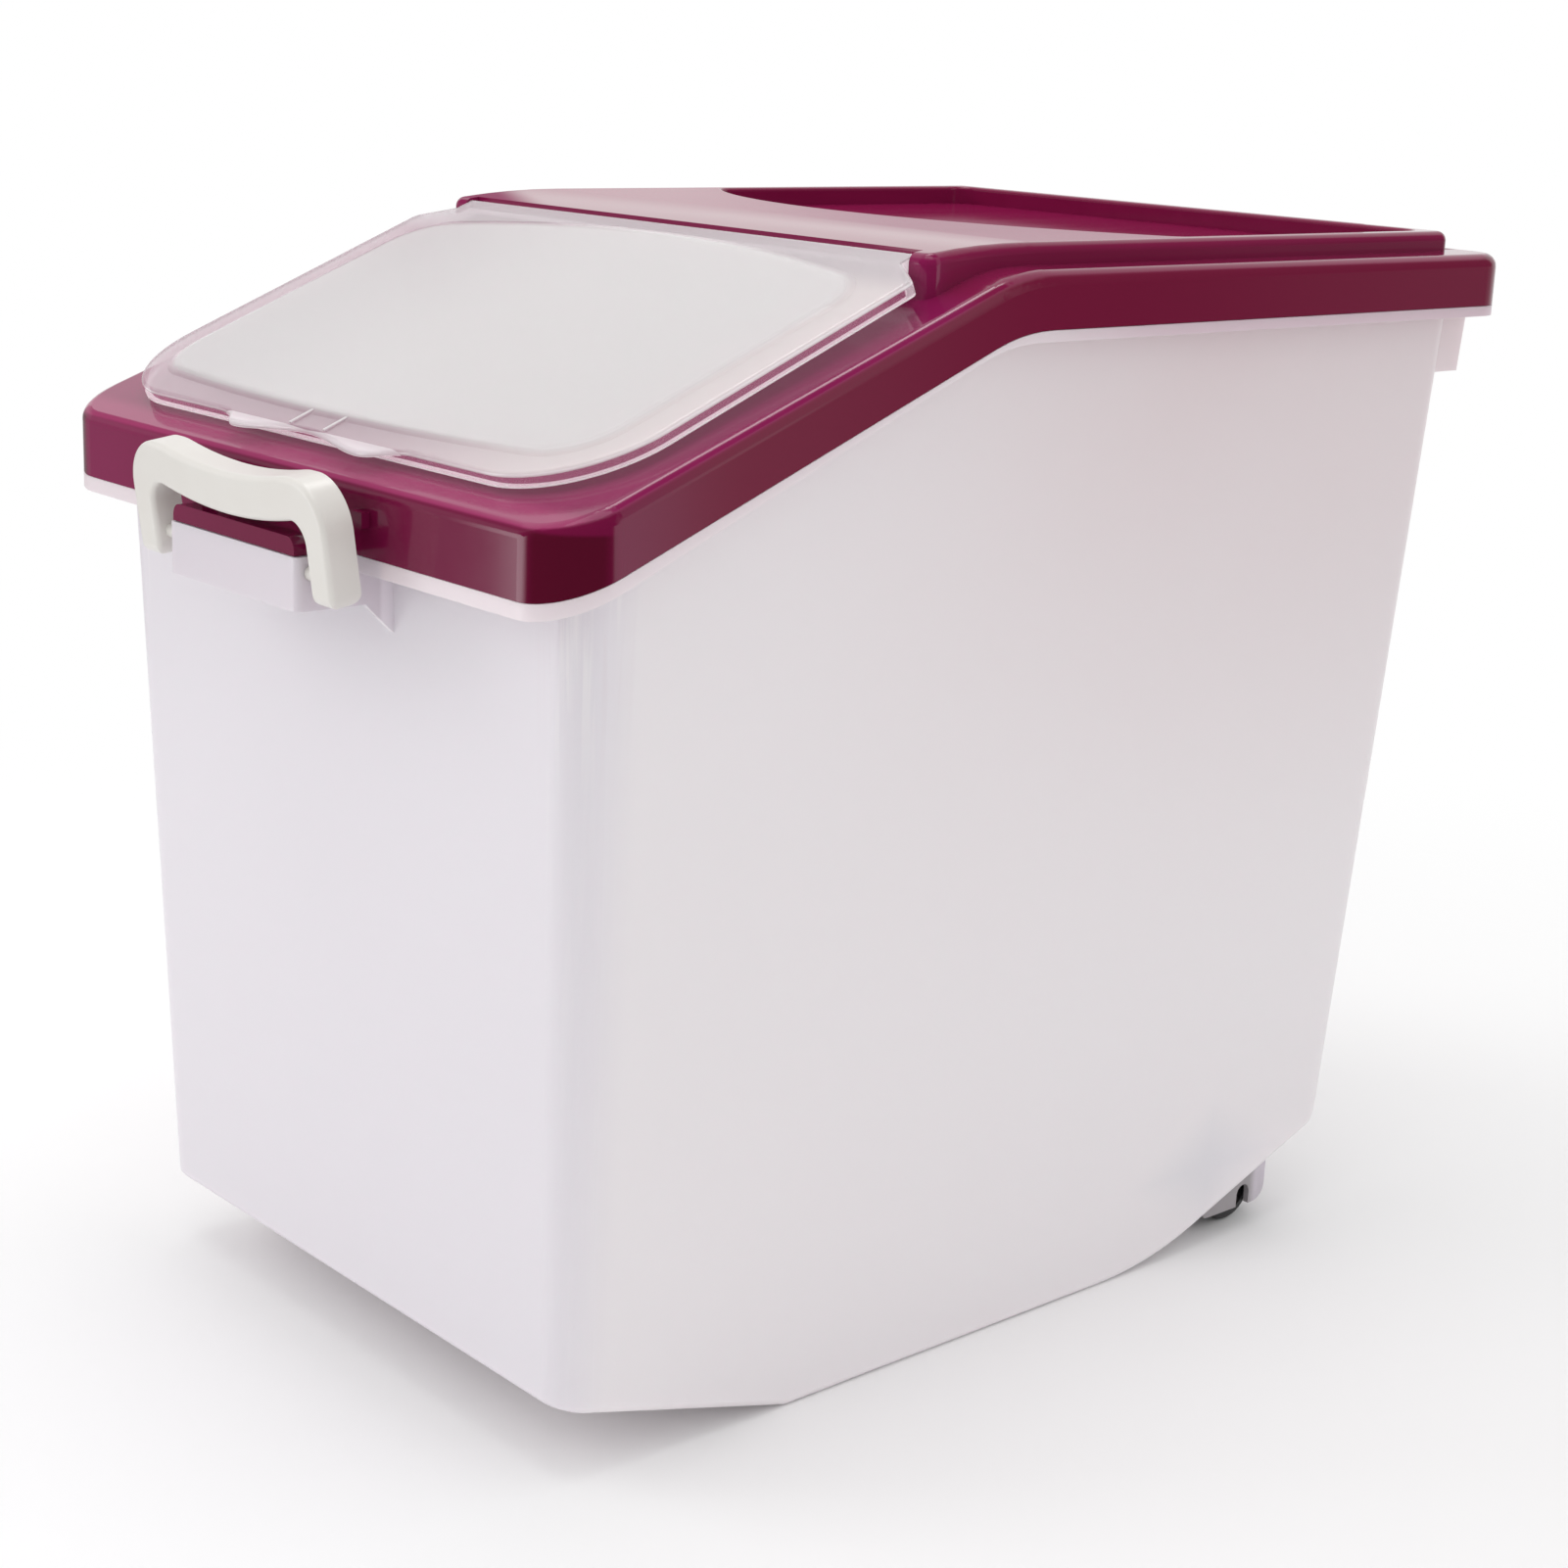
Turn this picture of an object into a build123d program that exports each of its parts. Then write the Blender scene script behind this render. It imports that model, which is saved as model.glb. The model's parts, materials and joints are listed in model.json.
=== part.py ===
from build123d import *
import os
from math import atan2, cos, radians, sin, sqrt, tan

# A rolling ingredient bin: a drafted tub on two rear wheels, a sloped lid with a hinged scoop flap,
# a tray moulded into the lid's raised rear deck, and a swinging front latch.
# Millimetres. X is across, Y runs from the latch at the front to the rear, Z is up from the floor.

# Lid
LID_WIDTH = 300.0
LID_LENGTH = 451.0
LID_FRONT_CORNER = 22.0
LID_REAR_CORNER = 16.0
LID_WALL = 2.4
LID_EDGE = 5.0
SKIRT_FRONT_Z = 299.0
SKIRT_REAR_Z = 372.0
SKIRT_FRONT_HEIGHT = 22.0
SKIRT_REAR_HEIGHT = 19.0
SLOPE_LENGTH = 184.0
KINK_RADIUS = 70.0

# Raised deck and tray at the rear of the lid
DECK_HEIGHT = 7.3
DECK_SIDE_MARGIN = 18.0
DECK_REAR_MARGIN = 16.0
DECK_CORNER = 5.0
DECK_EDGE = 3.5
DECK_CROWN = 359.0
DECK_CROWN_SETBACK = 21.0
EAR_WIDTH = 9.5
EAR_LENGTH = 6.3
EAR_CORNER = 5.0
TRAY_RIM = 8.0
TRAY_CORNER = 9.0
TRAY_FRONT = 81.1
TRAY_BOW = 42.0
TRAY_EDGE = 1.5

# Scoop opening under the flap
MOUTH_MARGIN = 31.6
MOUTH_FRONT = 32.0
MOUTH_REAR_MARGIN = 25.3
MOUTH_CORNER = 24.0
COLLAR_HEIGHT = 4.0
COLLAR_WALL = 2.0

# Flap, a little steeper than the lid's slope, measured from its hinge axis
FLAP_TILT = 1.7
FLAP_MARGIN = 12.4
FLAP_LENGTH = 161.7
FLAP_CORNER = 40.0
FLAP_WALL = 1.8
FLAP_EDGE = 1.5
FLAP_RISE = 2.3
FLAP_SKIRT = 5.2
FLAP_EAR_GAP = 1.6
FLAP_SIDE_GAP = 0.5
FLAP_SHOULDER = 10.8
FLAP_BEND = 4.0
PANEL_HEIGHT = 1.0
PANEL_STEP = 4.0
PANEL_EDGE = 12.0
PANEL_MARGIN = 14.0
PANEL_FRONT = 9.4
PANEL_REAR = 6.8
PANEL_FRONT_BOW = 6.0
PANEL_REAR_BOW = 16.0
PANEL_CORNER = 22.0
LIP_HALF = 58.0
LIP_CREST = 42.0
LIP_REACH = 5.0
LIP_DIP = 0.8
LIP_RIB = 1.2
LIP_RIB_HEIGHT = 0.8
LIP_RIB_SPACING = 20.0

# Flap hinge: a bead along the rear edge with a trunnion at each end
HINGE_SETBACK = 22.0
HINGE_HEIGHT = 9.7
BEAD_RADIUS = 2.4
BEAD_GAP = 0.9
TRUNNION_DIAMETER = 3.6
TRUNNION_LENGTH = 5.0
RUNNING_GAP = 0.05
END_GAP = 0.3

# Latch handle, its outline measured from its pivot, and the pieces that it closes over
HANDLE_WIDTH = 117.4
HANDLE_REACH = 23.5
HANDLE_LEAN = 8.0
HANDLE_DEPTH = 11.0
HANDLE_EDGE = 2.0
HANDLE_WALL = 2.5
LEG_WIDTH = 12.0
LEG_END = 8.3
LEG_ROUND = 4.5
LEG_SOLID = 9.0
HUMP_HEIGHT = 31.8
HUMP_HALF = 37.0
HUMP_RADIUS = 30.0
SHOULDER_RADIUS = 16.0
DIP_HEIGHT = 28.2
BAR_HEIGHT = 13.9
BAR_END_HEIGHT = 19.5
ARMPIT_RADIUS = 7.0
PIVOT_DROP = 5.4
PIVOT_SETBACK = 6.0
PIVOT_DIAMETER = 5.0
BOSS_GAP = 7.7
BOSS_SETBACK = 4.5
BOSS_HEIGHT = 17.2
BOSS_DROP = 0.3
TONGUE_INSET = 2.0
TONGUE_SETBACK = 5.0
TONGUE_HEIGHT = 5.8
TONGUE_CORNER = 4.0
DETENT_WIDTH = 6.0
DETENT_HEIGHT = 5.0
DETENT_INSET = 1.5
DETENT_DEPTH = 3.0
DETENT_RISE = 12.0
GUSSET_LENGTH = 10.0
GUSSET_DROP = 12.0

# Tub
TUB_WALL = 2.4
TUB_FLOOR = 3.0
TUB_CORNER = 12.0
TUB_EDGE = 3.0
SIDE_OVERHANG = 12.0
FRONT_OVERHANG = 16.5
REAR_OVERHANG = 15.5
SIDE_DRAFT = 2.0
FRONT_DRAFT = 1.7
REAR_DRAFT = 3.33
TOE_START = 123.7
TOE_ANGLE = 16.0
RAMP_START = 313.6
RAMP_ANGLE = 22.0
RAMP_RADIUS = 147.0
HEEL_SETBACK = 5.0
HEEL_ANGLE = 55.0
HEEL_RADIUS = 8.0
FLANGE_FRONT_DROP = 5.4
FLANGE_REAR_DROP = 3.9
FLANGE_KINK = 6.4
FLANGE_WALL = 2.4
UPSTAND = 12.0
SEAT_GAP = 0.2

# Rear grip under the flange
GRIP_HALF_WIDTH = 132.0
GRIP_DROP = 27.0
GRIP_INSET = 1.0
GRIP_TAPER = 3.0
GRIP_RIB_SPACING = 88.0
GRIP_RIB = 2.0

# Wheels, axles and the housings clipped into wells in the tub floor
WHEEL_RADIUS = 14.4
WHEEL_WIDTH = 14.0
WHEEL_FLOOR_GAP = 0.5
WHEEL_REAR_MARGIN = 77.6
WHEEL_EDGE = 2.0
WHEEL_RECESS = 1.5
WHEEL_RIM = 3.5
HUB_RADIUS = 5.0
AXLE_DIAMETER = 4.0
AXLE_CHAMFER = 0.3
CHEEK_SIDE_INSET = 7.8
CHEEK_WALL = 2.4
CHEEK_SKIN = 1.2
CHEEK_GAP = 0.6
CHEEK_BOTTOM = 6.4
CHEEK_CORNER = 7.0
HOUSING_FRONT = 5.0
HOUSING_REAR = 4.1
HOUSING_ROOF = 7.8
NOTCH_WIDTH = 7.6
NOTCH_SETBACK = 5.2
NOTCH_TOP = 15.4
WELL_GAP = 0.3

# Places worked out from the sizes above
FRONT_Y = -(LID_LENGTH - HANDLE_REACH) / 2
REAR_Y = FRONT_Y + LID_LENGTH
KINK_Y = FRONT_Y + SLOPE_LENGTH
SLOPE_Z = SKIRT_FRONT_Z + SKIRT_FRONT_HEIGHT
RIM_Z = SKIRT_REAR_Z + SKIRT_REAR_HEIGHT
DECK_Z = RIM_Z + DECK_HEIGHT
TOP_Z = DECK_Z + KINK_RADIUS
EDGE_SEARCH = 1.5
SLOPE_ANGLE = atan2(RIM_Z - SLOPE_Z, SLOPE_LENGTH)
SLOPE_RUN = SLOPE_LENGTH / cos(SLOPE_ANGLE)

HINGE_V = SLOPE_RUN - HINGE_SETBACK
HINGE_Y = FRONT_Y + HINGE_V * cos(SLOPE_ANGLE) - HINGE_HEIGHT * sin(SLOPE_ANGLE)
HINGE_Z = SLOPE_Z + HINGE_V * sin(SLOPE_ANGLE) + HINGE_HEIGHT * cos(SLOPE_ANGLE)

DECK_HALF = LID_WIDTH / 2 - DECK_SIDE_MARGIN
DECK_REAR_Y = REAR_Y - DECK_REAR_MARGIN
DECK_FRONT_Y = HINGE_Y + BEAD_RADIUS + BEAD_GAP
EAR_HALF = DECK_HALF - EAR_WIDTH
EAR_FRONT_Y = DECK_FRONT_Y - EAR_LENGTH
CROWN_Y = KINK_Y + DECK_CROWN_SETBACK
TRAY_HALF = DECK_HALF - TRAY_RIM
TRAY_REAR_Y = DECK_REAR_Y - TRAY_RIM
TRAY_FRONT_Y = DECK_FRONT_Y + TRAY_FRONT

FLAP_HALF = LID_WIDTH / 2 - FLAP_MARGIN
FLAP_ANGLE = SLOPE_ANGLE + radians(FLAP_TILT)
FLAP_NECK = (HINGE_Y - EAR_FRONT_Y + FLAP_EAR_GAP) / cos(FLAP_ANGLE)
BEAD_HALF = EAR_HALF - FLAP_SIDE_GAP
MOUTH_HALF = FLAP_HALF - MOUTH_MARGIN
MOUTH_REAR = HINGE_V - MOUTH_REAR_MARGIN

HANDLE_HALF = HANDLE_WIDTH / 2
LEG_INNER = HANDLE_HALF - LEG_WIDTH
HANDLE_Y = FRONT_Y - HANDLE_REACH
LEAN = radians(HANDLE_LEAN)
PIVOT_Y = (HANDLE_Y + HANDLE_EDGE + (PIVOT_SETBACK - HANDLE_EDGE) * cos(LEAN)
           + (HUMP_HEIGHT - HANDLE_EDGE) * sin(LEAN))
PIVOT_Z = SKIRT_FRONT_Z - PIVOT_DROP
BOSS_HALF = LEG_INNER - BOSS_GAP
BOSS_Y = HANDLE_Y + BOSS_SETBACK
BOSS_TOP = SKIRT_FRONT_Z - BOSS_DROP
BOSS_BOTTOM = BOSS_TOP - BOSS_HEIGHT
TONGUE_HALF = BOSS_HALF - TONGUE_INSET
TONGUE_Y = HANDLE_Y + TONGUE_SETBACK

WHEEL_Y = REAR_Y - WHEEL_REAR_MARGIN
WHEEL_Z = WHEEL_RADIUS + WHEEL_FLOOR_GAP
TUB_HALF = LID_WIDTH / 2 - SIDE_OVERHANG - SKIRT_REAR_Z * tan(radians(SIDE_DRAFT))
TUB_HEEL_Y = REAR_Y - REAR_OVERHANG - SKIRT_REAR_Z * tan(radians(REAR_DRAFT)) - HEEL_SETBACK
CHEEK_OUTER = TUB_HALF - CHEEK_SIDE_INSET
WHEEL_OUTER = CHEEK_OUTER - CHEEK_WALL - CHEEK_GAP
WHEEL_INNER = WHEEL_OUTER - WHEEL_WIDTH
CHEEK_INNER = WHEEL_INNER - CHEEK_GAP - CHEEK_WALL
HOUSING_FRONT_Y = WHEEL_Y - WHEEL_RADIUS - HOUSING_FRONT
HOUSING_REAR_Y = WHEEL_Y + WHEEL_RADIUS + HOUSING_REAR
HOUSING_TOP = WHEEL_Z + WHEEL_RADIUS + HOUSING_ROOF + CHEEK_WALL
WELL_OUTER = TUB_HALF - TUB_WALL


def side_solid(outline):
    """A closed outline in the Y-Z plane, drawn out across the whole width."""
    return extrude(Plane.YZ * make_face(outline), amount=LID_WIDTH, both=True)


def block(x0, x1, y0, y1, z0, z1):
    """A box between two opposite corners."""
    return Pos((x0 + x1) / 2, (y0 + y1) / 2, (z0 + z1) / 2) * Box(x1 - x0, y1 - y0, z1 - z0)


def cross_pin(x0, x1, y, z, diameter):
    """A round bar across the bin, from x0 to x1."""
    return Pos((x0 + x1) / 2, y, z) * Rot(0, 90, 0) * Cylinder(diameter / 2, x1 - x0)


def mirrored(shape):
    return shape + mirror(shape, Plane.YZ)


def lid_plan(inset):
    """The lid's outline seen from above, rounder at its front corners."""
    half = LID_WIDTH / 2 - inset
    front = FRONT_Y + inset
    rear = REAR_Y - inset
    radii = [LID_FRONT_CORNER - inset] * 2 + [LID_REAR_CORNER - inset] * 2
    points = [(-half, front), (half, front), (half, rear), (-half, rear)]
    return make_face(FilletPolyline(*points, radius=radii, close=True))


def rim_line(front_z, rear_z, setback=0):
    """The bent line along the bin's rim: it climbs from the front, then runs level."""
    climb = (rear_z - front_z) / (SLOPE_LENGTH - setback)
    start = (FRONT_Y - HANDLE_REACH, front_z - climb * HANDLE_REACH)
    return [start, (KINK_Y - setback, rear_z), (REAR_Y + HANDLE_REACH, rear_z)]


def band(low, high):
    """The space between two rim lines, each given as its front and rear height."""
    points = rim_line(*low) + rim_line(*high)[::-1]
    radii = [0, KINK_RADIUS, 0, 0, KINK_RADIUS, 0]
    return side_solid(FilletPolyline(*points, radius=radii, close=True))


def rim_band(low, high):
    """The space between two lines set off from the underside of the lid's skirt."""
    heights = (SKIRT_FRONT_Z, SKIRT_REAR_Z)
    return band([z + low for z in heights], [z + high for z in heights])


def inclined(shape, y, z, angle):
    """Moves a shape drawn flat (across, along, above) to a slope that climbs from y and z."""
    return Plane(origin=(0, y, z), x_dir=(1, 0, 0), z_dir=(0, -sin(angle), cos(angle))).location * shape


def on_slope(shape):
    """Places a shape measured on the lid's slope."""
    return inclined(shape, FRONT_Y, SLOPE_Z, SLOPE_ANGLE)


def upper_edges(shape, level, inner):
    """The edges around a shape's top at height level(y), apart from those within inner of the middle."""
    def is_outer(edge):
        middle = edge @ 0.5
        between = FRONT_Y + EDGE_SEARCH < middle.Y < DECK_REAR_Y - EDGE_SEARCH
        inside = abs(middle.X) < inner and between
        return abs(middle.Z - level(middle.Y)) < EDGE_SEARCH and not inside
    return shape.edges().filter_by(is_outer)


def lid_height(y):
    """Height of the lid's top surface, without its bend's rounding."""
    return min(RIM_Z, SLOPE_Z + (y - FRONT_Y) * tan(SLOPE_ANGLE))


def deck_height(y):
    """Height of the deck, which falls away to the hinge on a gentle arc."""
    ahead = max(0, CROWN_Y - y)
    return DECK_Z - DECK_CROWN + sqrt(DECK_CROWN ** 2 - ahead ** 2)


def under_deck(drop):
    """Everything below the deck's top surface, less a drop."""
    front = EAR_FRONT_Y - EAR_LENGTH
    low = SKIRT_FRONT_Z
    front_top = (front, deck_height(front) - drop)
    crown = (CROWN_Y, DECK_Z - drop)
    frame = Polyline(front_top, (front, low), (REAR_Y, low), (REAR_Y, DECK_Z - drop), crown)
    return side_solid(frame + TangentArc(crown, front_top, tangent=(-1, 0)))


def deck_plan():
    """The raised deck with an ear at each front corner."""
    right = [(EAR_HALF, DECK_FRONT_Y), (EAR_HALF, EAR_FRONT_Y), (DECK_HALF, EAR_FRONT_Y),
             (DECK_HALF, DECK_REAR_Y)]
    left = [(-x, y) for x, y in right[::-1]]
    radii = [0, 0, EAR_CORNER, DECK_CORNER, DECK_CORNER, EAR_CORNER, 0, 0]
    return make_face(FilletPolyline(*right, *left, radius=radii, close=True))


def tray_plan(grow):
    """The tray's recess, whose front edge bows towards the hinge."""
    half = TRAY_HALF + grow
    rear = TRAY_REAR_Y + grow
    front = TRAY_FRONT_Y - grow
    side = front + TRAY_BOW
    sides = Polyline((-half, side), (-half, rear), (half, rear), (half, side))
    outline = make_face(sides + ThreePointArc((half, side), (0, front), (-half, side)))
    return fillet(outline.vertices(), TRAY_CORNER + grow)


def tray_edges(deck):
    """The edges around the tray in the deck's top."""
    def is_inner(edge):
        middle = edge @ 0.5
        between = TRAY_FRONT_Y - EDGE_SEARCH < middle.Y < TRAY_REAR_Y + EDGE_SEARCH
        return abs(middle.X) < TRAY_HALF + EDGE_SEARCH and between
    return deck.edges().group_by(Axis.Z)[-1].filter_by(is_inner)


def deck_cavity():
    """The hollow under the deck, around the tray."""
    inner = Rectangle(2 * (DECK_HALF - LID_WALL), DECK_REAR_Y - DECK_FRONT_Y - 2 * LID_WALL)
    inner = Pos(0, (DECK_FRONT_Y + DECK_REAR_Y) / 2) * inner
    ring = inner - tray_plan(LID_WALL)
    return extrude(ring, TOP_Z) & under_deck(LID_WALL)


def mouth_plan(grow):
    """The scoop opening's outline on the slope."""
    length = MOUTH_REAR - MOUTH_FRONT + 2 * grow
    outline = RectangleRounded(2 * (MOUTH_HALF + grow), length, MOUTH_CORNER + grow)
    return Pos(0, (MOUTH_FRONT + MOUTH_REAR) / 2) * outline


def lid():
    """Skirted lid with its deck, tray, hinge ears, scoop opening, tongue and latch detents."""
    shell = extrude(lid_plan(0), TOP_Z) & band((SKIRT_FRONT_Z, SKIRT_REAR_Z), (SLOPE_Z, RIM_Z))
    shell = fillet(upper_edges(shell, lid_height, EAR_HALF), LID_EDGE)
    hollow = extrude(lid_plan(LID_WALL), TOP_Z)
    hollow &= band((0, SKIRT_REAR_Z - SKIRT_FRONT_Z), (SLOPE_Z - LID_WALL, RIM_Z - LID_WALL))

    deck = extrude(deck_plan(), TOP_Z) & under_deck(0)
    deck = fillet(upper_edges(deck, deck_height, EAR_HALF + EDGE_SEARCH), DECK_EDGE)
    deck -= Pos(0, 0, RIM_Z) * extrude(tray_plan(0), TOP_Z - RIM_Z)
    deck = fillet(tray_edges(deck), TRAY_EDGE)
    collar = on_slope(extrude(mouth_plan(COLLAR_WALL), COLLAR_HEIGHT))
    depth = 2 * LID_WALL
    mouth = on_slope(Pos(0, 0, -depth) * extrude(mouth_plan(0), depth + COLLAR_HEIGHT))

    tongue = block(-TONGUE_HALF, TONGUE_HALF, TONGUE_Y, FRONT_Y + LID_WALL, SKIRT_FRONT_Z,
                   SKIRT_FRONT_Z + TONGUE_HEIGHT)
    tongue = fillet(tongue.edges().filter_by(Axis.Y).group_by(Axis.Z)[-1], TONGUE_CORNER)
    tongue &= rim_band(0, SKIRT_FRONT_HEIGHT)
    detent_x = LEG_INNER - DETENT_INSET
    detent_z = SKIRT_FRONT_Z + DETENT_RISE - DETENT_HEIGHT / 2
    detent = block(detent_x, detent_x + DETENT_WIDTH, FRONT_Y - DETENT_DEPTH, FRONT_Y + LID_WALL,
                   detent_z, detent_z + DETENT_HEIGHT)

    socket = cross_pin(EAR_HALF - END_GAP, BEAD_HALF + TRUNNION_LENGTH + END_GAP, HINGE_Y, HINGE_Z,
                       TRUNNION_DIAMETER + 2 * RUNNING_GAP)
    solid = shell + deck - hollow - deck_cavity() - mirrored(socket)
    return solid + (collar - mouth) - mouth + tongue + mirrored(detent)


def flap_plan(inset):
    """The flap's outline, wide ahead of the ears, with shoulders that narrow it to pass between them."""
    half = FLAP_HALF - inset
    neck = BEAD_HALF - inset
    start = -FLAP_NECK - inset
    right = [(neck, 0), (neck, start), (half, start - FLAP_SHOULDER), (half, inset - FLAP_LENGTH)]
    left = [(-x, y) for x, y in right[::-1]]
    radii = [0, 0, FLAP_BEND, FLAP_CORNER - inset]
    return make_face(FilletPolyline(*right, *left, radius=radii + radii[::-1], close=True))


def lip_plan():
    """The finger lip's waved outline ahead of the flap's front edge."""
    right = [(LIP_HALF, -FLAP_LENGTH), (LIP_CREST, -FLAP_LENGTH - LIP_REACH)]
    left = [(-x, y) for x, y in right[::-1]]
    wave = Spline(*right, (0, -FLAP_LENGTH - LIP_DIP), *left, tangents=[(-1, 0), (-1, 0)])
    return make_face(wave + Line(left[-1], right[0]))


def panel_plan(inset):
    """The raised panel's outline, with a bowed front and rear edge."""
    half = FLAP_HALF - PANEL_MARGIN - inset
    front = PANEL_FRONT - FLAP_LENGTH + inset
    rear = -PANEL_REAR - inset
    sides = [Line((x, front + PANEL_FRONT_BOW), (x, rear - PANEL_REAR_BOW)) for x in (-half, half)]
    low = ThreePointArc(sides[0] @ 0, (0, front), sides[1] @ 0)
    high = ThreePointArc(sides[0] @ 1, (0, rear), sides[1] @ 1)
    outline = make_face(sides[0] + high + sides[1] + low)
    return fillet(outline.vertices(), PANEL_CORNER - inset)


def flap_panel():
    """The raised panel above the flap's rim, with soft edges."""
    foot = panel_plan(-PANEL_STEP / 2)
    top = Pos(0, 0, PANEL_HEIGHT) * panel_plan(PANEL_STEP / 2)
    solid = loft([foot, top], ruled=True)
    return fillet(solid.edges().group_by(Axis.Z)[-1], PANEL_EDGE)


def flap():
    """Milky scoop flap with a clear rim, a skirt, a hinge bead, trunnions and a finger lip."""
    rim = Pos(0, 0, -FLAP_WALL) * extrude(flap_plan(0) + lip_plan(), FLAP_WALL)
    outer = [e for e in rim.edges().group_by(Axis.Z)[-1] if (e @ 0.5).Y < -FLAP_NECK]
    rim = fillet(outer, FLAP_EDGE)
    skirt = Pos(0, 0, -FLAP_SKIRT) * extrude(flap_plan(0) - flap_plan(FLAP_WALL), FLAP_SKIRT - FLAP_WALL)
    panel = flap_panel()
    rib_x = LIP_RIB_SPACING / 2
    rib = block(rib_x - LIP_RIB / 2, rib_x + LIP_RIB / 2, -FLAP_LENGTH, PANEL_FRONT - FLAP_LENGTH,
                -FLAP_WALL / 2, LIP_RIB_HEIGHT)
    shell = rim + skirt + panel + mirrored(rib) - Pos(0, 0, -FLAP_WALL) * panel
    reach = BEAD_HALF + TRUNNION_LENGTH
    bead = cross_pin(-BEAD_HALF, BEAD_HALF, 0, 0, 2 * BEAD_RADIUS)
    pin = cross_pin(-reach, reach, 0, 0, TRUNNION_DIAMETER)
    return inclined(Pos(0, 0, FLAP_RISE) * shell + bead + pin, HINGE_Y, HINGE_Z, FLAP_ANGLE)


def handle_outline():
    """The latch seen from the front: two legs under a bar that sags between two humps."""
    right = [(LEG_INNER, BAR_END_HEIGHT), (LEG_INNER, -LEG_END), (HANDLE_HALF, -LEG_END),
             (HANDLE_HALF, HUMP_HEIGHT), (HUMP_HALF, HUMP_HEIGHT)]
    left = [(-x, z) for x, z in right[::-1]]
    top = ThreePointArc(right[-1], (0, DIP_HEIGHT), left[0])
    under = ThreePointArc(left[-1], (0, BAR_HEIGHT), right[0])
    outline = make_face(Polyline(*right) + top + Polyline(*left) + under)
    radii = [ARMPIT_RADIUS, LEG_ROUND, LEG_ROUND, SHOULDER_RADIUS, HUMP_RADIUS]
    for (x, z), radius in zip(right, radii):
        corners = [v for v in outline.vertices() if abs(abs(v.X) - x) + abs(v.Y - z) < END_GAP]
        outline = fillet(corners, radius)
    return outline


def latch_handle():
    """Ivory latch that leans forwards, with a pivot stud on the inside of each leg."""
    front = Plane.XZ.offset(PIVOT_SETBACK)
    outline = handle_outline()
    solid = extrude(front * outline, -HANDLE_DEPTH)
    solid = fillet(solid.faces().sort_by(Axis.Y)[0].edges(), HANDLE_EDGE)
    back = HANDLE_DEPTH - PIVOT_SETBACK
    side = [(-PIVOT_SETBACK, -LEG_END), (back, -LEG_END), (back, TOP_Z), (-PIVOT_SETBACK, TOP_Z)]
    solid &= side_solid(FilletPolyline(*side, radius=[LEG_ROUND, LEG_ROUND, 0, 0], close=True))
    hollow = extrude(front.offset(-HANDLE_WALL) * offset(outline, -HANDLE_WALL), -HANDLE_DEPTH)
    keep = block(-HANDLE_HALF, HANDLE_HALF, -HANDLE_DEPTH, HANDLE_DEPTH, -LEG_END, LEG_SOLID)
    solid -= hollow - keep
    stud = cross_pin(BOSS_HALF - TUB_WALL - END_GAP, LEG_INNER + HANDLE_WALL, 0, 0, PIVOT_DIAMETER)
    return Pos(0, PIVOT_Y, PIVOT_Z) * Rot(HANDLE_LEAN, 0, 0) * (solid + mirrored(stud))


def tub_section(z, inset):
    """The tub's rounded outline at one height, which the drafts widen upwards."""
    half = TUB_HALF + z * tan(radians(SIDE_DRAFT)) - inset
    front = FRONT_Y + FRONT_OVERHANG + (SKIRT_FRONT_Z - z) * tan(radians(FRONT_DRAFT)) + inset
    rear = REAR_Y - REAR_OVERHANG - (SKIRT_REAR_Z - z) * tan(radians(REAR_DRAFT)) - inset
    outline = RectangleRounded(2 * half, rear - front, TUB_CORNER - inset)
    return Pos(0, (front + rear) / 2, z) * outline


def keel(rise):
    """Everything above the tub's bottom: a toe that climbs to the front, a flat and a rear ramp."""
    front = FRONT_Y - HANDLE_REACH
    rear = REAR_Y + HANDLE_REACH
    toe = FRONT_Y + TOE_START
    ramp = FRONT_Y + RAMP_START
    toe_slope = tan(radians(TOE_ANGLE))
    heel_z = (TUB_HEEL_Y - ramp) * tan(radians(RAMP_ANGLE))
    heel_slope = tan(radians(HEEL_ANGLE))
    points = [(front, (toe - front) * toe_slope), (toe, 0), (ramp, 0), (TUB_HEEL_Y, heel_z),
              (rear, heel_z + (rear - TUB_HEEL_Y) * heel_slope), (rear, 2 * TOP_Z), (front, 2 * TOP_Z)]
    radii = [0, 0, RAMP_RADIUS, HEEL_RADIUS, 0, 0, 0]
    outline = make_face(FilletPolyline(*points, radius=radii, close=True))
    if rise:
        outline = offset(outline, -rise, kind=Kind.INTERSECTION)
    return extrude(Plane.YZ * outline, amount=LID_WIDTH, both=True)


def tub_body(inset, rise):
    """The drafted tub as one solid, set inwards by an inset and upwards by a rise."""
    form = loft([tub_section(-1, inset), tub_section(TOP_Z, inset)], ruled=True) & keel(rise)
    low = form.edges().filter_by(lambda e: (e @ 0.5).Z < SKIRT_FRONT_Z / 3 and abs((e % 0.5).Z) < 0.6)
    across = low.filter_by(lambda e: abs((e % 0.5).X) > 0.99 and abs((e @ 0.5).Z) < 1)
    return fillet([e for e in low if e not in across], TUB_EDGE)


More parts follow.
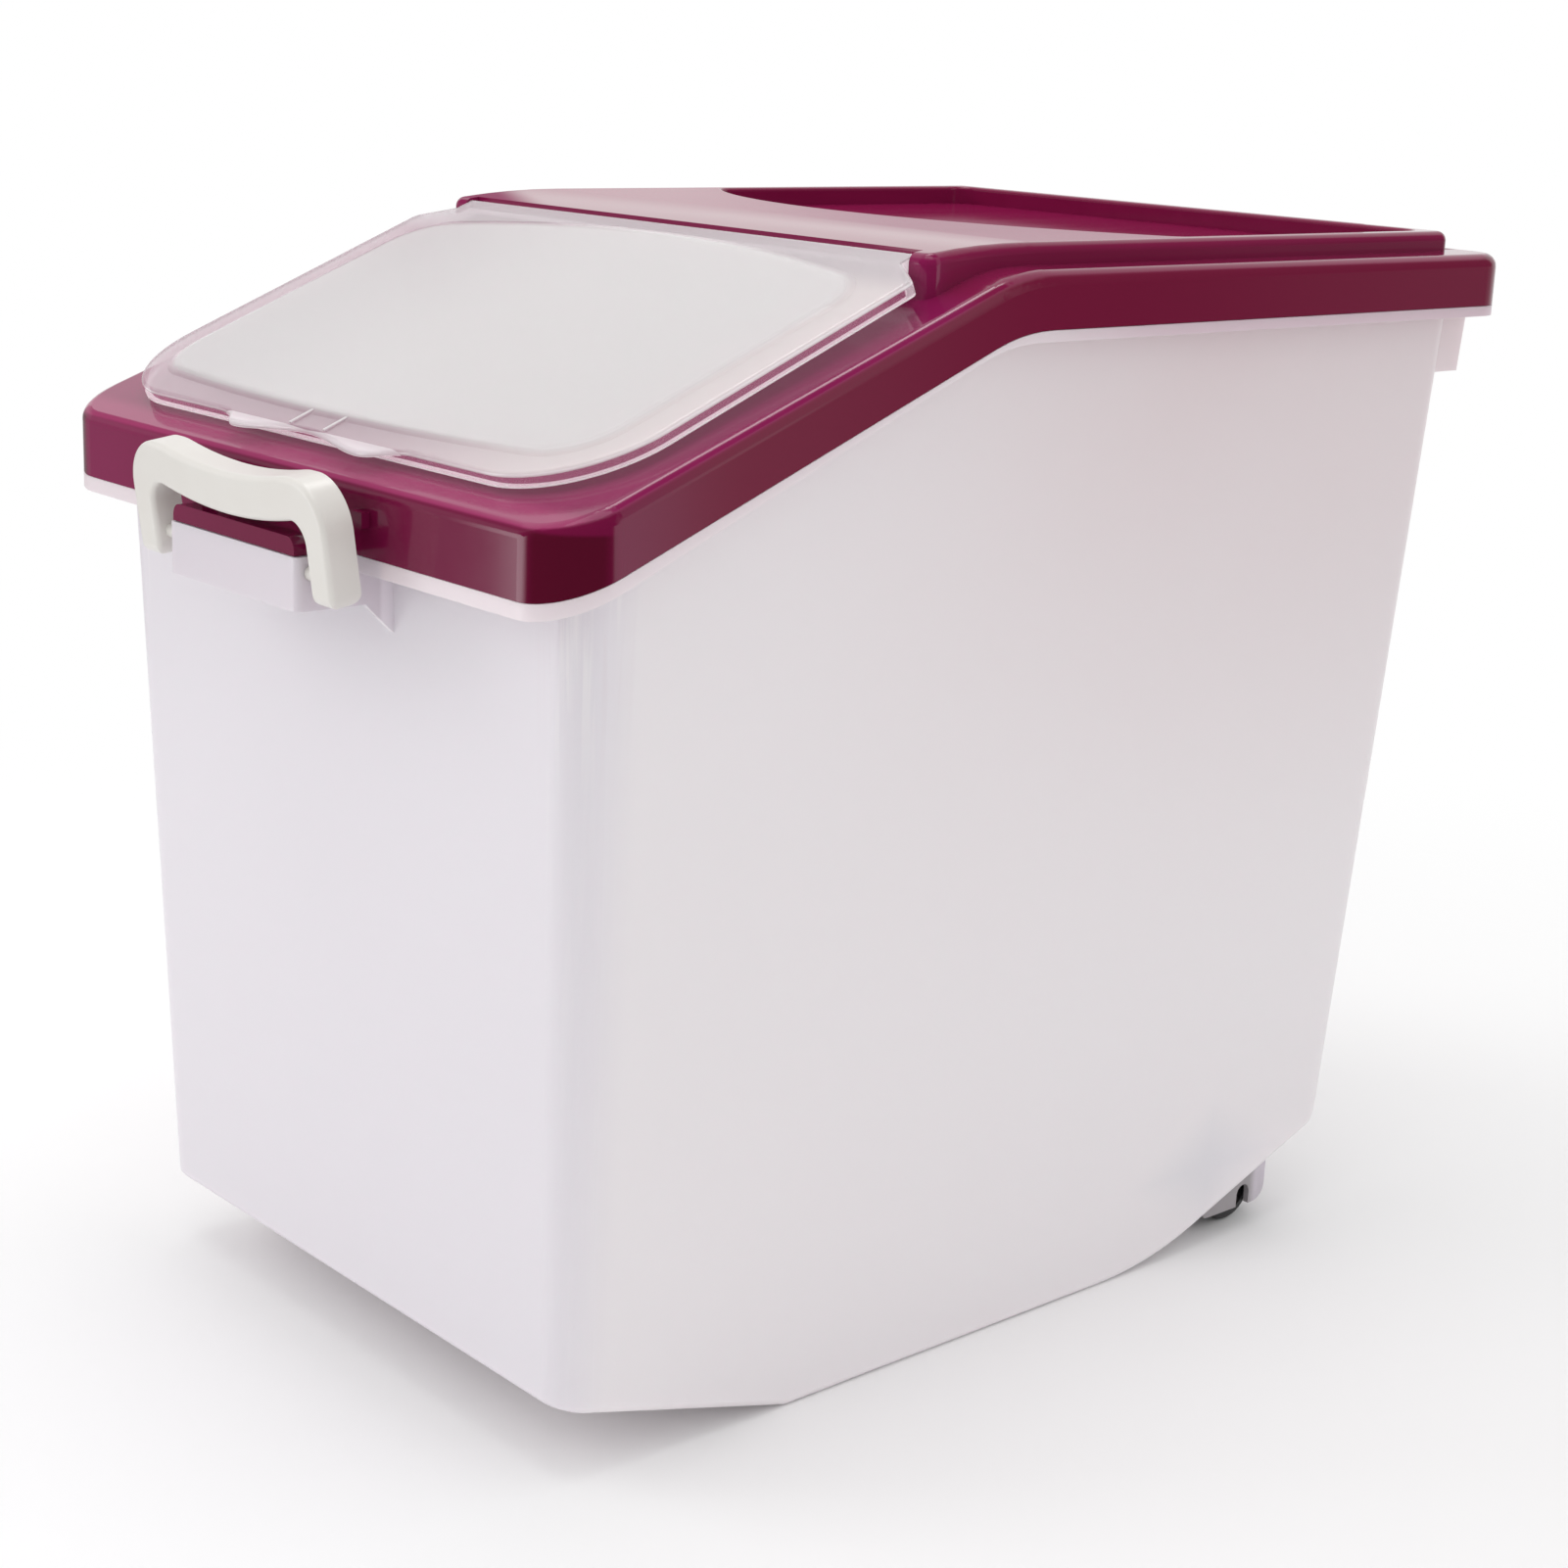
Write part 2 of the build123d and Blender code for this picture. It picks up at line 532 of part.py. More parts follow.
def flange():
    """Rim plate under the lid's skirt, with a lip turned down at its edge that thins towards the bend."""
    low = (SKIRT_FRONT_Z - FLANGE_FRONT_DROP, SKIRT_REAR_Z - FLANGE_REAR_DROP, FLANGE_KINK)
    plate = extrude(lid_plan(0), TOP_Z) & band(low, (SKIRT_FRONT_Z - SEAT_GAP, SKIRT_REAR_Z - SEAT_GAP))
    relief = extrude(lid_plan(FLANGE_WALL), TOP_Z)
    relief &= rim_band(-2 * FLANGE_FRONT_DROP, -SEAT_GAP - FLANGE_WALL)
    return plate - relief


def latch_boss():
    """Hollow boss at the front that carries the latch, with a gusset below each end."""
    wall_y = FRONT_Y + FRONT_OVERHANG
    solid = block(-BOSS_HALF, BOSS_HALF, BOSS_Y, wall_y + TUB_WALL, BOSS_BOTTOM, BOSS_TOP)
    solid = fillet(solid.edges().filter_by(Axis.Z).group_by(Axis.Y)[0], TUB_WALL)
    inside = BOSS_HALF - TUB_WALL
    solid -= block(-inside, inside, BOSS_Y + TUB_WALL, wall_y, BOSS_BOTTOM - 1, BOSS_TOP - TUB_WALL)
    points = [(wall_y - GUSSET_LENGTH, BOSS_BOTTOM), (wall_y + TUB_WALL, BOSS_BOTTOM),
              (wall_y + TUB_WALL, BOSS_BOTTOM - GUSSET_DROP)]
    gusset = extrude(Plane.YZ.offset(inside) * make_face(Polyline(*points, close=True)), TUB_WALL)
    pivot = cross_pin(-LEG_INNER, LEG_INNER, PIVOT_Y, PIVOT_Z, PIVOT_DIAMETER + 2 * RUNNING_GAP)
    return solid + mirrored(gusset) - pivot


def rear_grip():
    """Finger grip under the rear flange, open below and stiffened by ribs."""
    top = SKIRT_REAR_Z - SEAT_GAP - FLANGE_WALL
    low = SKIRT_REAR_Z - GRIP_DROP
    wall_y = REAR_Y - REAR_OVERHANG - GRIP_DROP * tan(radians(REAR_DRAFT))
    rear = REAR_Y - GRIP_INSET

    def shell(inset, bottom):
        points = [(wall_y - TUB_WALL / 2, bottom), (rear - GRIP_TAPER - inset, bottom), (rear - inset, top),
                  (wall_y - TUB_WALL / 2, top)]
        face = Plane.YZ * make_face(Polyline(*points, close=True))
        return extrude(face, amount=GRIP_HALF_WIDTH - inset, both=True)

    rib_x = GRIP_RIB_SPACING / 2
    ribs = mirrored(block(rib_x - GRIP_RIB / 2, rib_x + GRIP_RIB / 2, FRONT_Y, REAR_Y, low, top))
    return shell(0, low) - shell(TUB_WALL, low - 1) + (shell(TUB_WALL / 2, low) & ribs)


def wheel_well(wall, side):
    """The pocket in the tub floor over the right wheel, grown by a wall, as far as the side."""
    gap = WELL_GAP + wall
    return block(CHEEK_INNER - gap, side, HOUSING_FRONT_Y - gap, HOUSING_REAR_Y + gap, -1, HOUSING_TOP + gap)


def tub():
    """Translucent tub with its flange, upstand, latch boss, rear grip and wheel wells."""
    outer = tub_body(0, 0)
    body = outer & rim_band(-TOP_Z, UPSTAND)
    hollow = tub_body(TUB_WALL, TUB_FLOOR)
    shell = body + flange() + latch_boss() + rear_grip() - hollow
    wells = mirrored(wheel_well(TUB_WALL, LID_WIDTH / 2)) & outer
    return shell + wells - mirrored(wheel_well(0, WELL_OUTER))


def wheel_housing():
    """Right wheel housing: two cheeks, end walls and a roof, notched beside the wheel."""
    floor_points = [(HOUSING_FRONT_Y, CHEEK_BOTTOM), (HOUSING_REAR_Y, CHEEK_BOTTOM),
                    (HOUSING_REAR_Y, HOUSING_TOP), (HOUSING_FRONT_Y, HOUSING_TOP)]
    outline = FilletPolyline(*floor_points, radius=[CHEEK_WALL, CHEEK_CORNER, 0, 0], close=True)
    solid = extrude(Plane.YZ.offset(CHEEK_INNER) * make_face(outline), CHEEK_OUTER - CHEEK_INNER)
    solid -= block(CHEEK_INNER + CHEEK_WALL, CHEEK_OUTER - CHEEK_WALL, HOUSING_FRONT_Y + CHEEK_WALL,
                   HOUSING_REAR_Y - CHEEK_WALL, 0, HOUSING_TOP - CHEEK_WALL)
    roof = block(CHEEK_INNER, WELL_OUTER - WELL_GAP, HOUSING_FRONT_Y, HOUSING_REAR_Y,
                 HOUSING_TOP - CHEEK_WALL, HOUSING_TOP)
    notch_y = WHEEL_Y + NOTCH_SETBACK
    notch_z = NOTCH_TOP - NOTCH_WIDTH / 2
    notch = block(CHEEK_OUTER - 2 * CHEEK_WALL, CHEEK_OUTER + 1, notch_y - NOTCH_WIDTH / 2,
                  notch_y + NOTCH_WIDTH / 2, 0, notch_z)
    notch += cross_pin(CHEEK_OUTER - 2 * CHEEK_WALL, CHEEK_OUTER + 1, notch_y, notch_z, NOTCH_WIDTH)
    bore = cross_pin(CHEEK_INNER - 1, CHEEK_OUTER - CHEEK_SKIN, WHEEL_Y, WHEEL_Z,
                     AXLE_DIAMETER + 2 * RUNNING_GAP)
    return solid + roof - notch - bore


def wheel():
    """Right wheel: a solid roller with a recessed web, a raised hub and rounded tread edges."""
    solid = cross_pin(WHEEL_INNER, WHEEL_OUTER, WHEEL_Y, WHEEL_Z, 2 * WHEEL_RADIUS)
    solid = fillet(solid.edges(), WHEEL_EDGE)
    for x in (WHEEL_INNER, WHEEL_OUTER - WHEEL_RECESS):
        ring = cross_pin(x, x + WHEEL_RECESS, WHEEL_Y, WHEEL_Z, 2 * (WHEEL_RADIUS - WHEEL_RIM))
        solid -= ring - cross_pin(x, x + WHEEL_RECESS, WHEEL_Y, WHEEL_Z, 2 * HUB_RADIUS)
    return solid - cross_pin(WHEEL_INNER, WHEEL_OUTER, WHEEL_Y, WHEEL_Z, AXLE_DIAMETER + 2 * RUNNING_GAP)


def wheel_axle():
    """Right steel axle pin, put in from the inner cheek and ending inside the outer one."""
    pin = cross_pin(CHEEK_INNER, CHEEK_OUTER - CHEEK_SKIN - END_GAP, WHEEL_Y, WHEEL_Z, AXLE_DIAMETER)
    return chamfer(pin.edges(), AXLE_CHAMFER)


parts = {"tub": tub(), "lid": lid(), "flap": flap(), "latch_handle": latch_handle()}
for name, make in (("wheel_housing", wheel_housing), ("wheel", wheel), ("wheel_axle", wheel_axle)):
    right = make()
    parts[name + "_right"] = right
    parts[name + "_left"] = mirror(right, Plane.YZ)

os.makedirs("parts", exist_ok=True)
for name, solid in parts.items():
    export_step(solid, f"parts/{name}.step")
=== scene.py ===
import json
from math import cos, degrees, radians, sin

import bpy
import numpy as np
from mathutils import Matrix, Vector

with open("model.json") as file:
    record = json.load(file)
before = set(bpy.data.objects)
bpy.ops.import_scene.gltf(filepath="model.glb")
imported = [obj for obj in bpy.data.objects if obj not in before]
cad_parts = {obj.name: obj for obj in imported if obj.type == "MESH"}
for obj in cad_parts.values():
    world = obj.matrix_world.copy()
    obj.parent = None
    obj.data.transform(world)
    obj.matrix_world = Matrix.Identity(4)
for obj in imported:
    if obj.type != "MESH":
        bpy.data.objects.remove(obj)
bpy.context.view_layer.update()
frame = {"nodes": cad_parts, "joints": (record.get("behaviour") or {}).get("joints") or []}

# The camera that was fitted to the photograph: angles in radians, lens for a square of this many pixels
IMAGE_SIZE = 1601
FOCAL_PIXELS = 2835.6
SENSOR = 36.0
CAMERA_PLACE = Vector((0.76928, -0.68455, 0.46205))
CAMERA_AZIMUTH = 0.8369
CAMERA_ELEVATION = 0.2647
CAMERA_ROLL = 0.0412

# The flap, in metres: its rim above the hinge axis, heights and depths from that rim, then its outline
HINGE = next(j["pos_m"] for j in frame["joints"] if j["name"] == "flap_hinge")
FLAP_SLOPE = radians(22.53)
FLAP_RIM = 0.0023
FLAP_PANEL = 0.0010
FLAP_EDGE = 0.0015
FLAP_SKIRT = 0.0052
FLAP_WALL = 0.0018
FLAP_HALF_WIDTH = 0.1376
FLAP_LENGTH = 0.1617
FLAP_CORNER = 0.040

# Places on the bin, in metres
WALL_FRONT_Y = -0.2025
WALL_SIDE_X = 0.1390
FLANGE_FRONT_Z = 0.2930
BOSS_SIDE_X = 0.055
LID_MIDDLE_Y = 0.01175
LID_HALF_LENGTH = 0.2255
LID_HALF_WIDTH = 0.150
LID_CORNER = 0.022
LID_CORNER_TOP_Z = 0.3195
LID_FRONT_STRIP_Y = -0.206
DECK_FRONT_Y = -0.060
TRAY_FLOOR_Z = 0.3914
TRAY_SIDE_X = 0.126
WHEEL_Y = 0.1597
HOUSING_REAR_Y = 0.168

# The room round the bin, in metres, and the world's light on the bin
FLOOR_REACH = 12.0
CARD_RADIUS = 1.0
CARD_COLUMNS = 240
WORLD_LEVEL = 0.85


class Flow:
    """One socket of a material's tree. Sums and products of flows add Math nodes."""

    def __init__(self, tree, socket):
        self.tree = tree
        self.socket = socket

    def math(self, operation, *values):
        return add(self.tree, "ShaderNodeMath", {"operation": operation}, [self, *values])

    def __add__(self, other):
        return self.math("ADD", other)

    def __sub__(self, other):
        return self.math("SUBTRACT", other)

    def __rsub__(self, other):
        return self * -1 + other

    def __mul__(self, other):
        return self.math("MULTIPLY", other)

    def __abs__(self):
        return self.math("ABSOLUTE")

    __radd__ = __add__
    __rmul__ = __mul__


def add(tree, kind, settings=None, inputs=(), output=0):
    """Adds any node: its settings first, then the values or flows of its sockets."""
    node = tree.nodes.new(kind)
    for name, value in (settings or {}).items():
        setattr(node, name, value)
    pairs = inputs.items() if isinstance(inputs, dict) else enumerate(inputs)
    for name, value in pairs:
        if isinstance(value, Flow):
            tree.links.new(value.socket, node.inputs[name])
        else:
            node.inputs[name].default_value = value
    return Flow(tree, node.outputs[output])


def rise(value, low, high):
    """0 below low and 1 above high, with a smooth climb between them."""
    inputs = {"Value": value, "From Min": low, "From Max": high}
    return add(value.tree, "ShaderNodeMapRange", {"interpolation_type": "SMOOTHSTEP"}, inputs)


def fall(value, low, high):
    """1 below low and 0 above high."""
    return 1 - rise(value, low, high)


def band(value, climb, descent):
    """0 outside and 1 inside, with a climb and a descent that each have a start and an end."""
    return rise(value, *climb) * fall(value, *descent)


def mix_colours(share, first, second):
    """The first colour where share is 0 and the second where it is 1. Colours are linear RGB."""
    inputs = {0: share}
    for index, colour in ((6, first), (7, second)):
        inputs[index] = colour if isinstance(colour, Flow) else (*colour, 1)
    return add(share.tree, "ShaderNodeMix", {"data_type": "RGBA"}, inputs, output=2)


def noise(place, scale, detail=2.0):
    """Smooth noise around 0.5, with scale in waves per metre."""
    inputs = {"Vector": place, "Scale": scale, "Detail": detail}
    return add(place.tree, "ShaderNodeTexNoise", None, inputs)


def stretched(place, scale):
    """Coordinates stretched along their axes."""
    return add(place.tree, "ShaderNodeMapping", None, {"Vector": place, "Scale": scale})


def axes(place):
    """The three coordinates of a place."""
    return [add(place.tree, "ShaderNodeSeparateXYZ", None, [place], output=axis) for axis in range(3)]


def along(place, origin, direction):
    """How far a place lies from an origin in a direction."""
    moved = add(place.tree, "ShaderNodeVectorMath", {"operation": "SUBTRACT"}, [place, origin])
    product = {"operation": "DOT_PRODUCT"}
    return add(place.tree, "ShaderNodeVectorMath", product, [moved, direction], output="Value")


def rounded(across, lengthways):
    """How far a place lies past the straight sides of a rounded outline, from its overshoot in two
    directions. All along the outline this is the corner's radius."""
    across, lengthways = across.math("MAXIMUM", 0), lengthways.math("MAXIMUM", 0)
    return (across * across + lengthways * lengthways).math("SQRT")


def new_material(name):
    """An empty node material with its Object coordinates."""
    material = bpy.data.materials.new(name)
    material.use_nodes = True
    material.node_tree.nodes.clear()
    return material, add(material.node_tree, "ShaderNodeTexCoord", output="Object")


def plastic(place, inputs):
    """A Principled shader."""
    return add(place.tree, "ShaderNodeBsdfPrincipled", None, inputs)


def add_output(shader):
    """Ends a material's tree with its shader."""
    node = shader.tree.nodes.new("ShaderNodeOutputMaterial")
    shader.tree.links.new(shader.socket, node.inputs["Surface"])


def bumped(height, distance):
    """A normal that follows a height between 0 and 1, with its full depth in metres."""
    inputs = {"Height": height, "Distance": distance, "Strength": 1.0}
    return add(height.tree, "ShaderNodeBump", None, inputs)


def milky_tub():
    """Milky plastic: lilac in front, pinker up to the lid as painted light from the lid, pale and dark
    streaks under the lid at its front corners as painted highlights and painted shade, with a darker
    flange, a boss darkened as painted shade, a bluish painted shadow of the wheel housing beside the
    wheels, and a fine grain."""
    lilac, milk, lid_light_pink = (0.80, 0.745, 0.80), (0.875, 0.81, 0.84), (0.80, 0.675, 0.70)
    corner_highlight_streak, corner_shade_streak = (0.90, 0.85, 0.87), (0.72, 0.60, 0.65)
    boss_shaded_lilac, housing_shadow_blue = (0.66, 0.605, 0.655), (0.560, 0.580, 0.660)
    flange_front, flange_rear = (0.75, 0.655, 0.69), (0.62, 0.485, 0.54)
    material, place = new_material("milky_tub")
    x, y, z = axes(place)
    side = abs(x)
    cloud = noise(place, 8)
    colour = mix_colours(rise(y, -0.19, -0.168), lilac, milk)
    # Painted light: the walls turn pinker towards the lid, for the lid's colour thrown onto them.
    lid_light_share = rise(z, 0.10, 0.40) * rise(y, -0.19, 0.12) * (0.7 + 0.6 * cloud)
    colour = mix_colours(lid_light_share, colour, lid_light_pink)

    # Painted highlights and painted shade: pale and dark streaks on the rounded front corners, stronger
    # towards the lid.
    corner = rise(side, 0.110, 0.124) * rise(-1 * y, 0.165, 0.188)
    corner = corner * (0.10 + 0.6 * rise(z, 0.23, 0.295))
    streaks = noise(stretched(place, (300, 300, 3)), 1.0, 3.0)
    colour = mix_colours(corner * rise(streaks, 0.52, 0.68), colour, corner_highlight_streak)
    colour = mix_colours(corner * fall(streaks, 0.32, 0.48) * 0.3, colour, corner_shade_streak)

    # Painted shade: everything in front of the front wall, mainly the boss, gets a darker lilac because
    # it faces the light.
    front = fall(y, WALL_FRONT_Y, WALL_FRONT_Y + 0.002)
    colour = mix_colours(front, colour, boss_shaded_lilac)
    front_flange = front * rise(z, FLANGE_FRONT_Z, FLANGE_FRONT_Z + 0.0006)
    front_flange = front_flange * rise(side, BOSS_SIDE_X, BOSS_SIDE_X + 0.005)
    flange = rise(side, WALL_SIDE_X, WALL_SIDE_X + 0.002).math("MAXIMUM", front_flange)
    flange_colour = mix_colours(rise(y, -0.05, 0.05), flange_front, flange_rear)
    colour = mix_colours(flange, colour, flange_colour)

    # Painted shadow: a faint bluish patch on each side wall where the wheel housing shows through.
    housing_shadow = fall(abs(y - (WHEEL_Y - 0.03)) + abs(z - 0.036) * 1.6, 0.004, 0.055)
    colour = mix_colours(housing_shadow * 0.3, colour, housing_shadow_blue)
    add_output(plastic(place, {
        "Base Color": colour,
        "Roughness": 0.30 + 0.08 * cloud,
        "Normal": bumped(noise(place, 900), 0.000012),
        "IOR": 1.49,
        "Subsurface Weight": 0.25,
        "Subsurface Radius": (0.012, 0.009, 0.010),
        "Subsurface Scale": 1.0,
    }))
    return material


def burgundy_lid():
    """Glossy burgundy plastic: painted light on the strip in front of the flap, painted shade on the
    skirt, which is darker and redder than the top and lighter at its left end, darker painted shade at
    the corners, with faint flow streaks and a finely grained tray floor that mirrors less."""
    slope_deep, slope_pale = (0.205, 0.008, 0.068), (0.250, 0.014, 0.086)
    deck_deep, deck_pale = (0.180, 0.006, 0.046), (0.215, 0.009, 0.060)
    front_painted_light, corner_shade = (0.310, 0.030, 0.115), (0.085, 0.004, 0.018)
    skirt_lit_left, skirt_shaded_front = (0.200, 0.0055, 0.063), (0.152, 0.0055, 0.042)
    skirt_shaded_side = (0.152, 0.0055, 0.033)
    material, place = new_material("burgundy_lid")
    x, y, z = axes(place)
    side = abs(x)
    streaks = noise(stretched(place, (6, 1, 6)), 14)
    slope_colour = mix_colours(streaks, slope_deep, slope_pale)
    deck_colour = mix_colours(streaks, deck_deep, deck_pale)
    # Painted light: the slope's front strip is made lighter, for light led through the clear flap and its
    # bright reflection.
    strip = fall(y, LID_FRONT_STRIP_Y, LID_FRONT_STRIP_Y + 0.007)
    slope_colour = mix_colours(strip, slope_colour, front_painted_light)
    colour = mix_colours(rise(y, DECK_FRONT_Y, DECK_FRONT_Y + 0.015), slope_colour, deck_colour)

    across = side - (LID_HALF_WIDTH - LID_CORNER)
    lengthways = abs(y - LID_MIDDLE_Y) - (LID_HALF_LENGTH - LID_CORNER)
    skirt = rise(rounded(across, lengthways), LID_CORNER - 0.0016, LID_CORNER - 0.0008)
    # Painted shade: the skirt is darker and redder than the top, lightest at its left end where the light
    # falls.
    skirt_shade_colour = mix_colours(rise(x, -0.13, 0.03), skirt_lit_left, skirt_shaded_front)
    skirt_shade_colour = mix_colours(rise(y, -0.195, -0.15), skirt_shade_colour, skirt_shaded_side)
    colour = mix_colours(skirt, colour, skirt_shade_colour)
    # Painted shade: the rounded corners of the skirt are darkened up to the top edge.
    corner = rise(across, 0.001, 0.007) * rise(lengthways, 0.001, 0.007) * skirt
    corner = corner * fall(z, LID_CORNER_TOP_Z, LID_CORNER_TOP_Z + 0.0015)
    colour = mix_colours(corner, colour, corner_shade)

    gloss = plastic(place, {
        "Base Color": colour,
        "Roughness": 0.06 + 0.05 * streaks,
        "Normal": bumped(noise(place, 26, 1.0), 0.00003),
        "IOR": 1.37,
    })
    grain = plastic(place, {
        "Base Color": colour,
        "Roughness": 0.6,
        "Normal": bumped(noise(place, 1500), 0.00002),
        "Specular IOR Level": 0.0,
    })
    tray = fall(z, TRAY_FLOOR_Z, TRAY_FLOOR_Z + 0.0011) * rise(y, 0.0, 0.01)
    tray = tray * fall(side, TRAY_SIDE_X, TRAY_SIDE_X + 0.002)
    add_output(add(place.tree, "ShaderNodeMixShader", None, [tray * 0.6, gloss, grain]))
    return material


def scoop_flap():
    """A hazy rim with painted highlights on its edges and a clear skirt round a milky panel. They are
    told apart by their height above the hinge axis and by their distance from the flap's outline. Rim,
    skirt and shoulder carry painted light, and the underside,
    the skirt and its foot glow faintly: a painted glow for the light that the clear plastic leads
    through."""
    rim_see_through_left, rim_lit_right, rim_rear = (0.44, 0.325, 0.37), (0.68, 0.615, 0.615), (0.49, 0.445, 0.465)
    panel_left, panel_right = (0.555, 0.520, 0.530), (0.612, 0.577, 0.585)
    shoulder_highlight, lip_pale, edge_highlight = (0.72, 0.69, 0.695), (0.74, 0.66, 0.70), (0.92, 0.86, 0.885)
    skirt_see_through_rose, under_grey = (0.44, 0.18, 0.28), (0.45, 0.41, 0.43)
    under_painted_glow, skirt_painted_glow = (0.46, 0.41, 0.43), (0.24, 0.08, 0.14)
    foot_painted_glow, no_glow = (0.22, 0.21, 0.215), (0, 0, 0)
    material, place = new_material("scoop_flap")
    x, _, _ = axes(place)
    upright = (0, -sin(FLAP_SLOPE), cos(FLAP_SLOPE))
    forwards = (0, -cos(FLAP_SLOPE), -sin(FLAP_SLOPE))
    height = along(place, tuple(HINGE), upright) - FLAP_RIM
    ahead = along(place, tuple(HINGE), forwards)
    across = abs(x) - (FLAP_HALF_WIDTH - FLAP_CORNER)
    outward = rounded(across, ahead - (FLAP_LENGTH - FLAP_CORNER))

    inner_face = FLAP_CORNER - FLAP_WALL
    lip = rise(outward, FLAP_CORNER + 0.0003, FLAP_CORNER + 0.0006)
    wall = rise(outward, inner_face - 0.0004, inner_face) * (1 - lip)
    panel = rise(height, 0.1 * FLAP_PANEL, 0.9 * FLAP_PANEL)
    shoulder = panel * (1 - panel) * 4
    top = rise(height, -0.6 * FLAP_EDGE, -0.1 * FLAP_EDGE)
    skirt = wall * fall(height, -1.15 * FLAP_EDGE, -0.95 * FLAP_EDGE)
    edge = band(height, (-0.95 * FLAP_EDGE, -0.75 * FLAP_EDGE), (-0.55 * FLAP_EDGE, -0.3 * FLAP_EDGE))
    foot = fall(height, 0.0005 - FLAP_SKIRT, 0.0009 - FLAP_SKIRT)
    # Painted highlights: the band on the rim's outer edge and the skirt's foot are painted near white.
    bright = (edge * wall * 0.7).math("MAXIMUM", foot)
    under = fall(height, -1.15 * FLAP_EDGE, -FLAP_EDGE)
    shaded = (wall + lip) * (1 - under) + (1 - wall - lip) * top
    right = rise(x, 0.0, 0.14)

    # Painted light: the rim is pinker at the left, where the lid shows through, and lighter at the right
    # as a painted reflection.
    colour = mix_colours(right, rim_see_through_left, rim_lit_right)
    colour = mix_colours(fall(ahead, 0.012, 0.030), colour, rim_rear)
    colour = mix_colours(lip, colour, lip_pale)
    panel_colour = mix_colours(rise(x, -0.12, 0.0), panel_left, panel_right)
    # Painted highlight: a paler line along the panel's raised shoulder.
    panel_colour = mix_colours(shoulder * 0.6, panel_colour, shoulder_highlight)
    colour = mix_colours(panel, colour, panel_colour)
    # Painted reflection: the skirt is painted rose for the burgundy lid seen through it.
    colour = mix_colours(skirt, colour, skirt_see_through_rose)
    colour = mix_colours(bright, colour, edge_highlight)
    colour = mix_colours((1 - shaded) * (1 - skirt), colour, under_grey)
    haze = (0.60 + 0.20 * right).math("MAXIMUM", panel).math("MAXIMUM", lip * 0.85)
    haze = haze * (1 - skirt) + 0.22 * skirt
    # Painted glow: emission on the underside, the skirt and its foot stands in for light led through the
    # clear plastic.
    glow = mix_colours(skirt, under_painted_glow, skirt_painted_glow)
    glow = mix_colours(shaded, glow, no_glow)
    glow = mix_colours(foot, glow, foot_painted_glow)
    add_output(plastic(place, {
        "Base Color": colour,
        "Roughness": 0.10 + 0.08 * panel,
        "Alpha": haze.math("MAXIMUM", bright * 0.85),
        "Emission Color": glow,
        "Emission Strength": 1.0,
        "Normal": bumped(noise(place, 30, 1.0), 0.00004),
        "IOR": 1.49,
        "Subsurface Weight": 0.7,
        "Subsurface Radius": (0.006, 0.005, 0.0055),
        "Subsurface Scale": 1.0,
    }))
    return material


def ivory_latch():
    """Ivory plastic with a satin gloss and faint clouds."""
    material, place = new_material("ivory_latch")
    cloud = noise(place, 60)
    add_output(plastic(place, {
        "Base Color": mix_colours(cloud, (0.700, 0.670, 0.630), (0.735, 0.715, 0.680)),
        "Roughness": 0.26 + 0.10 * cloud,
        "Normal": bumped(noise(place, 45, 1.0), 0.00002),
        "IOR": 1.49,
    }))
    return material


def shaded_housing():
    """Milky plastic of the wheel housings: grey over the cheek as painted shade, paler behind the wheel,
    and scuffed near the floor.
    """
    cheek_shade_grey, rear_pale, scuff_grey = (0.345, 0.32, 0.335), (0.65, 0.595, 0.665), (0.33, 0.30, 0.31)
    material, place = new_material("shaded_housing")
    _, y, z = axes(place)
    scuff = noise(place, 220, 4.0) * fall(z, 0.004, 0.03)
    # Painted shade: the cheek in front of the wheel is grey, and the housing is paler behind it.
    colour = mix_colours(rise(y, HOUSING_REAR_Y, HOUSING_REAR_Y + 0.005), cheek_shade_grey, rear_pale)
    add_output(plastic(place, {
        "Base Color": mix_colours(scuff * 0.6, colour, scuff_grey),
        "Roughness": 0.32 + 0.25 * scuff,
        "Normal": bumped(noise(place, 700), 0.00002),
    }))
    return material


def dark_wheel():
    """Near black hard plastic with a worn, dusty tread."""
    material, place = new_material("dark_wheel")
    dust = rise(noise(place, 340, 5.0), 0.45, 0.75)
    add_output(plastic(place, {
        "Base Color": mix_colours(dust, (0.014, 0.013, 0.014), (0.045, 0.042, 0.042)),
        "Roughness": 0.38 + 0.25 * dust,
        "Normal": bumped(noise(place, 500, 4.0), 0.00005),
    }))
    return material


def axle_steel():
    """Bright drawn steel with fine rings."""
    material, place = new_material("axle_steel")
    rings = noise(stretched(place, (40, 1, 1)), 120)
    add_output(plastic(place, {
        "Base Color": mix_colours(rings, (0.50, 0.50, 0.52), (0.66, 0.66, 0.68)),
        "Metallic": 1.0,
        "Roughness": 0.22 + 0.15 * rings,
    }))
    return material


def dress(node, material):
    """Gives a CAD node its finish."""
    slots = frame["nodes"][node].data.materials
    slots.clear()
    slots.append(material)


def seen_rays(tree):
    """1 for the rays that should find plain white: camera, glossy and transmission rays."""
    seen = add(tree, "ShaderNodeLightPath", output="Is Camera Ray")
    for ray in ("Is Glossy Ray", "Is Transmission Ray"):
        seen = seen.math("MAXIMUM", add(tree, "ShaderNodeLightPath", output=ray))
    return seen


